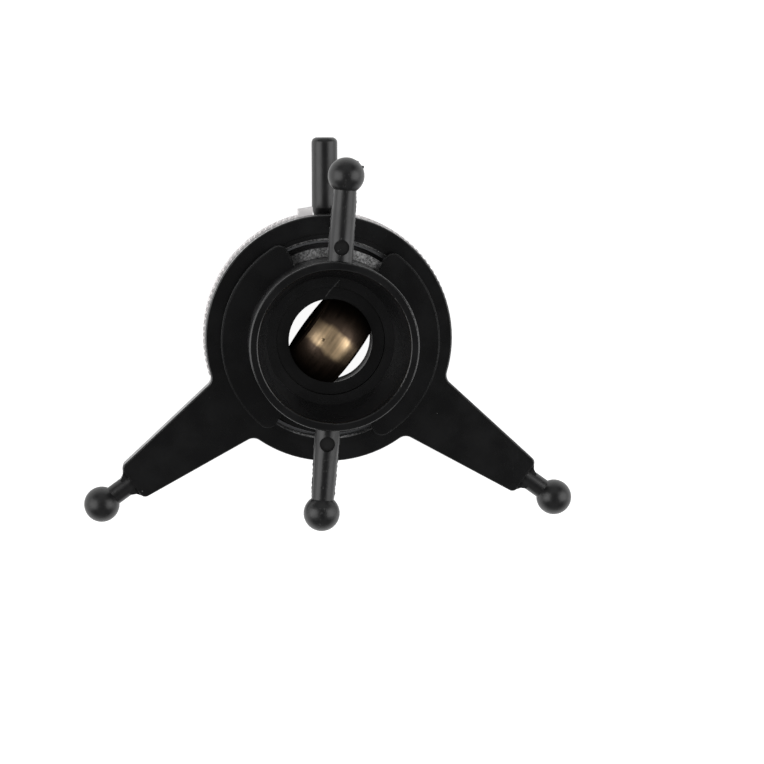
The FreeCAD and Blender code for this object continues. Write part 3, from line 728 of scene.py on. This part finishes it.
@dataclass(frozen=True)
class TurnedBrass:
    """Turned brass: tool marks round its bore, a painted highlight belt, a tarnished brown that is partly
    painted shade, and one small pit darkened as painted shade.
    """

    name: str
    bore_heading: float
    colour: Colour = (0.90, 0.66, 0.40)
    tarnish_and_shade: Colour = (0.088, 0.062, 0.046)
    tool_stretch: Triple = (1.0, 0.035, 0.035)
    fine_lines: Noise = Noise(5200.0, 3.0, 0.6)
    fine_roughness: Ramp = (0.3, 0.7, 0.29, 0.46)
    fine_depth_mm: float = 0.006
    broad_lines: Noise = Noise(1100.0, 2.0, 0.5)
    broad_depth_mm: float = 0.014
    patches: Noise = Noise(330.0, 3.0)
    patch_roughness: Ramp = (0.35, 0.7, 0.08, -0.02)
    highlight_belt_mm: tuple[float, float] = (0.75, 1.6)
    highlight_belt_stray: tuple[float, float] = (0.3, 0.7)
    highlight_belt_stray_mm: tuple[float, float] = (-0.3, 0.3)
    highlight_belt_end_mm: tuple[float, float] = (1.1, 2.3)
    highlight_belt_end_share: float = 0.25
    streak_parts: tuple[float, float] = (0.35, 0.75)
    streaks: Ramp = (0.38, 0.66, 0.45, 1.0)
    pit_mm: Triple = (-0.98, 0.40, 4.885)
    pit_radius_mm: float = 0.20
    pit_core: float = 0.25
    pit_depth_mm: float = 0.14
    pit_shade_share: float = 0.6
    pit_shade_colour: Colour = (0.05, 0.03, 0.02)
    flat_mm: float = 2.74
    flat_soft_mm: float = 0.04
    flat_shade_colour: Colour = (0.016, 0.011, 0.008)
    reflection: float = 0.5

    def build(self) -> bpy.types.Material:
        """Makes the material.

        Returns:
            A metal whose marks follow planes square to the bore, and which is painted dark as shade, and made
            non-metallic and unreflective, on the flats.
        """
        tree = Nodes(self.name)
        bore = tree.mapping(Rotation=(0.0, 0.0, -self.bore_heading))
        turned = tree.mapping(bore, Scale=self.tool_stretch)
        fine, broad = tree.noise(self.fine_lines, turned), tree.noise(self.broad_lines, turned)
        patch, pit = tree.noise(self.patches), self._pit(tree)
        end, aside, _ = tree.split(bore)
        end = tree.apart(end)
        highlight_belt = self._painted_highlight_belt(tree, end, tree.apart(aside), patch)
        patch_part, broad_part = self.streak_parts
        streak = tree.math("ADD", tree.product(patch, patch_part), tree.product(broad, broad_part))
        # Painted highlight: bright brass in the belt; outside it, a dark tarnished brown that also stands for
        # shade.
        colour = tree.mix(tree.product(highlight_belt, tree.ramp(streak, *self.streaks)), self.tarnish_and_shade, self.colour)
        # Painted shade: the pit's colour is darkened.
        colour = tree.mix(tree.product(pit, self.pit_shade_share), colour, self.pit_shade_colour)
        # Painted shade: beyond flat_mm along the bore, on the flats and the bore's chamfer, the brass is
        # dark, non-metallic and unreflective.
        curved = tree.ramp(end, self.flat_mm * MM, (self.flat_mm + self.flat_soft_mm) * MM, 1.0, 0.0)
        tree.link(tree.mix(curved, self.flat_shade_colour, colour), tree.shader.inputs["Base Color"])
        tree.link(curved, tree.shader.inputs["Metallic"])
        tree.link(tree.product(curved, self.reflection), tree.shader.inputs["Specular IOR Level"])
        rough = tree.math("ADD", tree.ramp(fine, *self.fine_roughness),
                          tree.ramp(patch, *self.patch_roughness))
        tree.link(rough, tree.shader.inputs["Roughness"])
        normal = tree.bump(fine, self.fine_depth_mm)
        normal = tree.bump(broad, self.broad_depth_mm, below=normal)
        normal = tree.bump(tree.math("SUBTRACT", 1.0, pit), self.pit_depth_mm, below=normal)
        tree.link(normal, tree.shader.inputs["Normal"])
        return tree.material

    def _painted_highlight_belt(self, tree: Nodes, end: Socket, aside: Socket, patch: Socket) -> Socket:
        """Finds the belt of painted highlight, a strip along the bore across the ball's top.

        Args:
            tree: the material.
            end: distance from the ball's middle along the bore.
            aside: level distance from the bore.
            patch: the noise that makes the belt's edge stray.

        Returns:
            1 in the belt and 0 outside it, less towards the flats.
        """
        stray = tree.ramp(patch, *self.highlight_belt_stray, *(part * MM for part in self.highlight_belt_stray_mm))
        belt = tree.ramp(tree.math("ADD", aside, stray), *(part * MM for part in self.highlight_belt_mm), 1.0, 0.0)
        ends = tree.ramp(end, *(part * MM for part in self.highlight_belt_end_mm), 1.0, self.highlight_belt_end_share)
        return tree.product(belt, ends)

    def _pit(self, tree: Nodes) -> Socket:
        """Finds the pit.

        Args:
            tree: the material.

        Returns:
            1 at the pit's centre, falling to 0 at its edge.
        """
        away = tree.add("ShaderNodeVectorMath", operation="DISTANCE")
        tree.link(tree.place, away.inputs[0])
        away.inputs[1].default_value = tuple(part * MM for part in self.pit_mm)
        core = self.pit_core * self.pit_radius_mm * MM
        return tree.ramp(away.outputs["Value"], core, self.pit_radius_mm * MM, 1.0, 0.0)


@dataclass(frozen=True)
class PlainMetal:
    """Turned or pressed metal with fine rings round the mast axis."""

    name: str
    colour: Colour
    roughness: float
    metallic: float = 1.0
    rings: Noise = Noise(3500.0, 2.0, 0.6)
    ring_depth_mm: float = 0.004
    ring_reach: tuple[float, float] = (0.3, 0.7)
    ring_roughness: tuple[float, float] = (0.05, 0.08)
    stains: Noise = Noise(250.0, 4.0)
    stain_share: tuple[float, float] = (0.4, 0.75)
    stain_gain: float = 0.85
    stain_roughness: Ramp = (0.4, 0.8, 0.0, 0.08)

    def build(self) -> bpy.types.Material:
        """Makes the material.

        Returns:
            A metal with rings, faint stains and a little unevenness.
        """
        tree = Nodes(self.name)
        rings = tree.add("ShaderNodeCombineXYZ")
        tree.link(tree.radius(), rings.inputs["X"])
        tree.link(tree.axes()[2], rings.inputs["Y"])
        marks = tree.noise(self.rings, rings.outputs["Vector"])
        stain = tree.noise(self.stains)
        darker = tuple(self.stain_gain * part for part in self.colour)
        colour = tree.mix(tree.ramp(stain, *self.stain_share), self.colour, darker)
        tree.link(colour, tree.shader.inputs["Base Color"])
        tree.shader.inputs["Metallic"].default_value = self.metallic
        less, more = self.ring_roughness
        ringed = tree.ramp(marks, *self.ring_reach, self.roughness - less, self.roughness + more)
        rough = tree.math("ADD", ringed, tree.ramp(stain, *self.stain_roughness))
        tree.link(rough, tree.shader.inputs["Roughness"])
        tree.link(tree.bump(marks, self.ring_depth_mm), tree.shader.inputs["Normal"])
        return tree.material


@dataclass(frozen=True)
class CageNylon:
    """Undyed nylon of the bearing's cage, slightly waxy."""

    name: str
    colour: Colour = (0.42, 0.33, 0.21)
    dark_gain: float = 0.7
    mottle: Noise = Noise(900.0, 3.0)
    roughness: Ramp = (0.3, 0.7, 0.42, 0.58)
    grain: Noise = Noise(6000.0, 2.0)
    grain_depth_mm: float = 0.008

    def build(self) -> bpy.types.Material:
        """Makes the material.

        Returns:
            A plastic with a mottled colour and roughness and a fine grain.
        """
        tree = Nodes(self.name)
        mottle = tree.noise(self.mottle)
        darker = tuple(self.dark_gain * part for part in self.colour)
        tree.link(tree.mix(mottle, darker, self.colour), tree.shader.inputs["Base Color"])
        tree.link(tree.ramp(mottle, *self.roughness), tree.shader.inputs["Roughness"])
        tree.link(tree.bump(tree.noise(self.grain), self.grain_depth_mm), tree.shader.inputs["Normal"])
        return tree.material


def dress(node: str, material: bpy.types.Material) -> None:
    """Gives a CAD node one finish.

    Args:
        node: the node's name.
        material: its finish.
    """
    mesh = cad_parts[node].data
    mesh.materials.clear()
    mesh.materials.append(material)
    log.info("dressed %s with %s", node, material.name)


def surface(name: str, grids: list[np.ndarray], material: bpy.types.Material, body: str) -> bpy.types.Object:
    """Makes one piece from closed tubes given as grids of points.

    Each grid is rows of rings: point (i, j) lies on ring i at step j round it. Neighbouring rings are joined
    by quads whose corners are (i, j), (i, j+1), (i+1, j+1), (i+1, j), and one polygon closes each end ring.

    Args:
        name: the piece's name.
        grids: arrays of shape (rings, steps, 3), in metres, wound so that faces point outwards.
        material: the piece's finish.
        body: the CAD body that it rides on.

    Returns:
        The piece.
    """
    points, faces, start = [], [], 0
    for grid in grids:
        rings, steps, _ = grid.shape
        index = start + np.arange(rings * steps).reshape(rings, steps)
        ahead = np.roll(index, -1, axis=1)
        quads = np.stack([index[:-1], ahead[:-1], ahead[1:], index[1:]], axis=-1).reshape(-1, 4)
        faces += quads.tolist() + [index[0, ::-1].tolist(), index[-1].tolist()]
        points.append(grid.reshape(-1, 3))
        start += rings * steps
    mesh = bpy.data.meshes.new(name)
    mesh.from_pydata(np.concatenate(points).tolist(), [], faces)
    mesh.polygons.foreach_set("use_smooth", np.ones(len(mesh.polygons), bool))
    mesh.materials.append(material)
    mesh.validate()
    piece = bpy.data.objects.new(name, mesh)
    bpy.context.scene.collection.objects.link(piece)
    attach(piece, body)
    log.info("made %s: %d faces", name, len(faces))
    return piece


HUB_TURN = math.radians(-4.45)
# One scratch runs down the hub's cup and on across the ball's seat.
CUP_SCRATCH = LongScratch((1.15, 6.9), (-0.62, 4.75))


@dataclass
class RotorHub:
    """The rotating hub: cup, wings and two arms with moulded link balls, and the collar below.

    Lengths are in metres. A scar is (heading in degrees, width, height), with both lengths in millimetres.
    """

    turn: float = HUB_TURN
    arm_height: float = 7.26 * MM
    arm_start: float = 9.6 * MM
    arm_end: float = 17.0 * MM
    root_radius: float = 1.37 * MM
    tip_radius: float = 1.22 * MM
    cone_start: float = 8.7 * MM
    ball_reach: float = 18.6 * MM
    ball_radius: float = 2.0 * MM
    flash_width: float = 0.12 * MM
    flash_height: float = 0.075 * MM
    flash_sunk: float = 0.2
    flash_rings: int = 90
    flash_steps: int = 10
    waver_rates: tuple[float, float, float] = (31.0, 83.0, 211.0)
    waver_depths: tuple[float, float] = (0.45, 0.25)
    waver_phases: tuple[float, float] = (1.3, 2.1)
    end_slope: float = 30.0
    end_height: float = 0.15
    scars: tuple[tuple[float, float, float], ...] = ((27.0, 0.42, 0.20), (50.0, 0.36, 0.07))
    scar_sunk_mm: float = 0.06
    scar_top: float = 0.97
    scar_rings: int = 9
    scar_steps: int = 18
    scar_lobes: float = 3.0
    lobe_depth: float = 0.18
    lobe_twist: float = 7.0
    flash_finish: MouldedNylon = MouldedNylon(
        "flash_nylon", zone=Zone.EVERYWHERE, dull_colour=(0.035, 0.035, 0.037))
    finish: MouldedNylon = field(default_factory=lambda: MouldedNylon(
        "hub_nylon", zone=Zone.OUTSIDE_CUP, zone_radius_mm=9.2, zone_height_mm=4.0,
        marks=(
            # Painted glint on the band round the hub's flange, kept to the front and brightest just right of
            # the front arm.
            EtchedSkinAndPaintedGlint(MastBand(9.35, 10.5, 1.5, 1.8, front_only=True, fade=(1.6, 6.8))),
            # Painted shade in the two dimples near the roots of the arms.
            DimplePair(x=0.838, y=10.767, radius=0.84, bottom=7.9),
            # Painted sheen inside the hub's cup.
            CupPaintedSheen(MastBand(5.0, 8.6, 2.1, 8.6)),
            # Painted shade in the torn dents along the arms.
            TornDents(-HUB_TURN),
            CUP_SCRATCH,
            MattBand(MastBand(9.6, 12.6, 1.75, 2.54, soft=0.006)),
        )))

    def build(self) -> None:
        """Dresses the hub and its collar and adds the marks that the mould left."""
        dress("rotor_hub", self.finish.build())
        dress("hub_collar", MouldedNylon("collar_nylon").build())
        flash = self.flash_finish.build()
        surface("rotor_arm_flash", self._flash(), flash, "hub")
        scars = [self._scar(*scar) for scar in self.scars]
        surface("rotor_ball_gate_scar", scars, flash, "hub")

    def _place(self, points: np.ndarray) -> np.ndarray:
        """Turns points from the hub's own frame, arms along Y, to where the hub lies."""
        cos, sin = math.cos(self.turn), math.sin(self.turn)
        return points @ np.array([[cos, sin, 0.0], [-sin, cos, 0.0], [0.0, 0.0, 1.0]])

    def _flash(self) -> list[np.ndarray]:
        """Makes the parting line along both sides of both arms.

        A ridge follows the side of the arm's cone at the height of its axis. Its section is an ellipse as
        tall as the flash is wide, whose middle is sunk a little into the arm. How far it stands out wavers
        along the arm, as trimmed flash does, and falls away at both ends.

        Returns:
            One grid of points for each of the four ridges.
        """
        reach = np.linspace(self.arm_start, self.arm_end, self.flash_rings)
        slope = (self.tip_radius - self.root_radius) / (self.ball_reach - self.cone_start)
        side = self.root_radius + slope * (reach - self.cone_start)
        around = np.linspace(0.0, 2.0 * math.pi, self.flash_steps, endpoint=False)
        far = reach / self.arm_end
        end_gap = np.minimum(far - far[0], far[-1] - far)
        grids = []
        for arm in (1.0, -1.0):
            for hand in (1.0, -1.0):
                waver = self._waver(far, arm, hand) * np.clip(end_gap * self.end_slope, self.end_height, 1.0)
                out = side[:, None] + self.flash_height * (waver[:, None] * np.cos(around) - self.flash_sunk)
                up = self.arm_height + 0.5 * self.flash_width * np.sin(around)[None, :] * np.ones_like(out)
                along = arm * reach[:, None] * np.ones_like(out)
                grid = np.stack([hand * out, along, up], axis=-1)
                grids.append(self._place(grid if arm * hand < 0 else grid[:, ::-1]))
        return grids

    def _waver(self, far: np.ndarray, arm: float, hand: float) -> np.ndarray:
        """Works out how the flash swells and thins along one side of one arm.

        Args:
            far: places along the arm, as shares of its end's reach.
            arm: 1 for the front arm and -1 for the rear one.
            hand: 1 for its right side and -1 for its left one.

        Returns:
            The share of the flash's height at each place.
        """
        slow, middle, fast = self.waver_rates
        deep, shallow = self.waver_depths
        phase = self.waver_phases[0] * arm + self.waver_phases[1] * hand
        return 1.0 + deep * np.sin(slow * far + phase) * np.sin(middle * far) + shallow * np.sin(fast * far)

    def _scar(self, heading: float, width: float, height: float) -> np.ndarray:
        """Makes a small rough nub on the front link ball.

        Rings of a blunt cone stand on the ball along the heading: a ring's radius falls as the square root of
        the height left above it, and a cosine of three lobes makes each ring uneven.

        Args:
            heading: the nub's heading in degrees from +X.
            width: the nub's width in millimetres.
            height: the nub's height in millimetres.

        Returns:
            The nub's grid of points.
        """
        angle = math.radians(heading)
        out = np.array([math.cos(angle), math.sin(angle), 0.0])
        side = np.array([-math.sin(angle), math.cos(angle), 0.0])
        centre = np.array([-math.sin(self.turn), math.cos(self.turn), 0.0]) * self.ball_reach
        centre[2] = self.arm_height
        share = np.linspace(0.0, self.scar_top, self.scar_rings)[:, None]
        around = np.linspace(0.0, 2.0 * math.pi, self.scar_steps, endpoint=False)
        lobes = 1.0 + self.lobe_depth * np.cos(self.scar_lobes * around + self.lobe_twist * share)
        spread = 0.5 * width * MM * np.sqrt(1.0 - share) * lobes
        sunk = self.scar_sunk_mm
        rise = self.ball_radius - sunk * MM + (height + sunk) * MM * share * np.ones_like(spread)
        return (centre + rise[..., None] * out + (spread * np.cos(around))[..., None] * side
                + (spread * np.sin(around))[..., None] * np.array([0.0, 0.0, 1.0]))


@dataclass
class StationaryStar:
    """The star that doesn't turn: disc with servo arms, anti-rotation pin and the serrated retainer ring."""

    star: MouldedNylon = MouldedNylon(
        "star_nylon", zone=Zone.BEYOND_DISC, zone_radius_mm=27.6,
        # A painted highlight: a thin broken bright line on a ring of the star's rim.
        marks=(EtchedSkinAndPaintedGlint(MastBand(11.1, 11.26, -0.26, -0.1, strength=0.8)),))
    pin: MouldedNylon = MouldedNylon("pin_nylon", zone=Zone.EVERYWHERE)
    ring: PlainMetal = PlainMetal("ring_alloy", (1.0, 0.97, 0.97), 0.5, metallic=0.2)

    def build(self) -> None:
        """Dresses the star, its pin and its retainer ring."""
        dress("outer_star", self.star.build())
        dress("anti_rotation_pin", self.pin.build())
        dress("retainer_ring", self.ring.build())


@dataclass
class Bearing:
    """The thin-section ball bearing between star and hub."""

    steel: PlainMetal = PlainMetal("race_steel", (0.56, 0.57, 0.59), 0.20)
    rubber: MouldedNylon = MouldedNylon("seal_rubber", zone=Zone.EVERYWHERE, dull_roughness=0.6)
    cage: CageNylon = CageNylon("cage_nylon")

    def build(self) -> None:
        """Dresses races, balls, seals and cage."""
        steel, rubber = self.steel.build(), self.rubber.build()
        for node in ("bearing_outer_race", "bearing_inner_race", "bearing_balls"):
            dress(node, steel)
        for node in ("bearing_seal_upper", "bearing_seal_lower"):
            dress(node, rubber)
        dress("bearing_cage", self.cage.build())


@dataclass
class BallJoint:
    """The brass mast ball and the two halves of its seat."""

    brass: TurnedBrass = TurnedBrass("ball_brass", bore_heading=math.radians(-36.85))
    seat: MouldedNylon = MouldedNylon("seat_plastic", gloss_roughness=0.33, marks=(CUP_SCRATCH,))

    def build(self) -> None:
        """Dresses the ball and its seat."""
        dress("mast_ball", self.brass.build())
        seat = self.seat.build()
        for node in ("ball_seat_upper", "ball_seat_lower"):
            dress(node, seat)


@dataclass
class Studio:
    """White table, white surroundings, soft lamps on all four sides, and the camera.

    Lengths are in metres, lens and sensor in millimetres. A lamp is (side, heading in degrees, watts).
    """

    distance: float = 300.0 * MM
    tilt: float = math.radians(8.07)
    tilt_heading: float = math.radians(-52.8)
    roll: float = math.radians(0.45)
    aim: tuple[float, float] = (-5.93 * MM, 4.87 * MM)
    aim_height: float = -0.5 * MM
    lens: float = 125.811518
    sensor: float = 36.0
    nearest: float = 0.01
    farthest: float = 20.0
    lamp_angle: float = math.radians(58.0)
    lamp_distance: float = 0.5
    lamp_size: tuple[float, float] = (0.50, 0.44)
    lamps: tuple[tuple[str, float, float], ...] = (
        ("left", 176.0, 1.90), ("right", 4.0, 1.80), ("rear", 90.0, 0.30), ("front", -90.0, 0.16))
    around_light: float = 0.11
    table_light: float = 0.94
    table_gloss_light: float = 1.0
    table_colour: Colour = (0.36, 0.36, 0.36)
    table_half: float = 3.0
    table_gap: float = 0.02 * MM

    def build(self) -> None:
        """Makes the table, the surroundings, the lamps and the camera."""
        self._table()
        self._surroundings()
        for name, heading, power in self.lamps:
            self._lamp(name, math.radians(heading), power)
        self._camera()
        bpy.context.scene.view_settings.view_transform = "Standard"

    def _axes(self) -> np.ndarray:
        """Works out how the camera is turned.

        The upright camera looks down the mast. It is rolled about the mast and tilted about the level axis
        that is square to the tilt heading.

        Returns:
            The camera's right, up and backward directions as columns.
        """
        lean = np.array([math.cos(self.tilt_heading), math.sin(self.tilt_heading), 0.0])
        axis = np.cross([0.0, 0.0, 1.0], lean)
        tilt = np.array(Matrix.Rotation(self.tilt, 3, Vector(axis)))
        roll = np.array(Matrix.Rotation(self.roll, 3, "Z"))
        return (tilt @ roll).T

    def _camera(self) -> None:
        """Places the camera at its distance from the star's top face."""
        axes = self._axes()
        place = axes @ (np.array([0.0, 0.0, self.distance]) - np.array([*self.aim, 0.0]))
        place[2] += self.aim_height
        data = bpy.data.cameras.new("camera")
        data.sensor_width = self.sensor
        data.lens = self.lens
        data.clip_start = self.nearest
        data.clip_end = self.farthest
        camera = bpy.data.objects.new("camera", data)
        matrix = Matrix(axes.tolist()).to_4x4()
        matrix.translation = Vector(place)
        camera.matrix_world = matrix
        bpy.context.scene.collection.objects.link(camera)
        bpy.context.scene.camera = camera

    def _lamp(self, name: str, heading: float, power: float) -> None:
        """Makes a soft rectangular lamp at the lamps' angle from the mast.

        Args:
            name: which side it stands on.
            heading: its heading about the mast in radians.
            power: its power in watts.
        """
        data = bpy.data.lights.new(f"softbox_{name}", "AREA")
        data.shape = "RECTANGLE"
        data.size_y, data.size = self.lamp_size
        data.energy = power
        lamp = bpy.data.objects.new(data.name, data)
        level = math.sin(self.lamp_angle)
        away = Vector((level * math.cos(heading), level * math.sin(heading), math.cos(self.lamp_angle)))
        lamp.matrix_world = away.to_track_quat("Z", "Y").to_matrix().to_4x4()
        lamp.matrix_world.translation = away * self.lamp_distance
        bpy.context.scene.collection.objects.link(lamp)

    def _table(self) -> None:
        """A white table just under the part, which looks white to the camera and keeps its soft shadow."""
        low = CAD_BOX[0][2] - self.table_gap
        half = self.table_half
        mesh = bpy.data.meshes.new("table")
        mesh.from_pydata([(-half, -half, low), (half, -half, low), (half, half, low), (-half, half, low)],
                         [], [(0, 1, 2, 3)])
        table = bpy.data.objects.new("table", mesh)
        bpy.context.scene.collection.objects.link(table)
        mesh.materials.append(self._table_white())

    def _table_white(self) -> bpy.types.Material:
        """Makes the table's finish.

        Returns:
            A matt white that also gives off light of its own.
        """
        material = bpy.data.materials.new("table_white")
        material.use_nodes = True
        tree = material.node_tree
        tree.nodes.clear()
        output = tree.nodes.new("ShaderNodeOutputMaterial")
        both = tree.nodes.new("ShaderNodeAddShader")
        matt = tree.nodes.new("ShaderNodeBsdfDiffuse")
        matt.inputs["Color"].default_value = (*self.table_colour, 1.0)
        glow = tree.nodes.new("ShaderNodeEmission")
        tree.links.new(self._seen(tree), glow.inputs["Strength"])
        tree.links.new(matt.outputs[0], both.inputs[0])
        tree.links.new(glow.outputs[0], both.inputs[1])
        tree.links.new(both.outputs[0], output.inputs["Surface"])
        return material

    def _seen(self, tree: bpy.types.NodeTree) -> Socket:
        """Works out the table's own light.

        Args:
            tree: the table's node tree.

        Returns:
            A strength for the camera's rays and one for glossy rays, and none for others.
        """
        path = tree.nodes.new("ShaderNodeLightPath")
        shares = []
        for ray, strength in (("Is Camera Ray", self.table_light), ("Is Glossy Ray", self.table_gloss_light)):
            scaled = tree.nodes.new("ShaderNodeMath")
            scaled.operation = "MULTIPLY"
            tree.links.new(path.outputs[ray], scaled.inputs[0])
            scaled.inputs[1].default_value = strength
            shares.append(scaled.outputs[0])
        total = tree.nodes.new("ShaderNodeMath")
        total.operation = "ADD"
        for share, socket in zip(shares, total.inputs):
            tree.links.new(share, socket)
        return total.outputs[0]

    def _surroundings(self) -> None:
        """Plain light from all round, white where the camera looks past the table."""
        world = bpy.data.worlds.new("surroundings")
        world.use_nodes = True
        bpy.context.scene.world = world
        tree = world.node_tree
        back = tree.nodes["Background"]
        back.inputs["Color"].default_value = (1.0, 1.0, 1.0, 1.0)
        path = tree.nodes.new("ShaderNodeLightPath")
        spread = tree.nodes.new("ShaderNodeMapRange")
        tree.links.new(path.outputs["Is Camera Ray"], spread.inputs["Value"])
        spread.inputs["To Min"].default_value = self.around_light
        spread.inputs["To Max"].default_value = 1.0
        tree.links.new(spread.outputs["Result"], back.inputs["Strength"])


def main() -> None:
    """Builds every sub-assembly's looks and the studio."""
    logging.basicConfig(level=logging.INFO, format="%(message)s")
    for part in (StationaryStar(), Bearing(), RotorHub(), BallJoint(), Studio()):
        part.build()
        log.info("built %s", type(part).__name__)


if __name__ == "__main__":
    main()
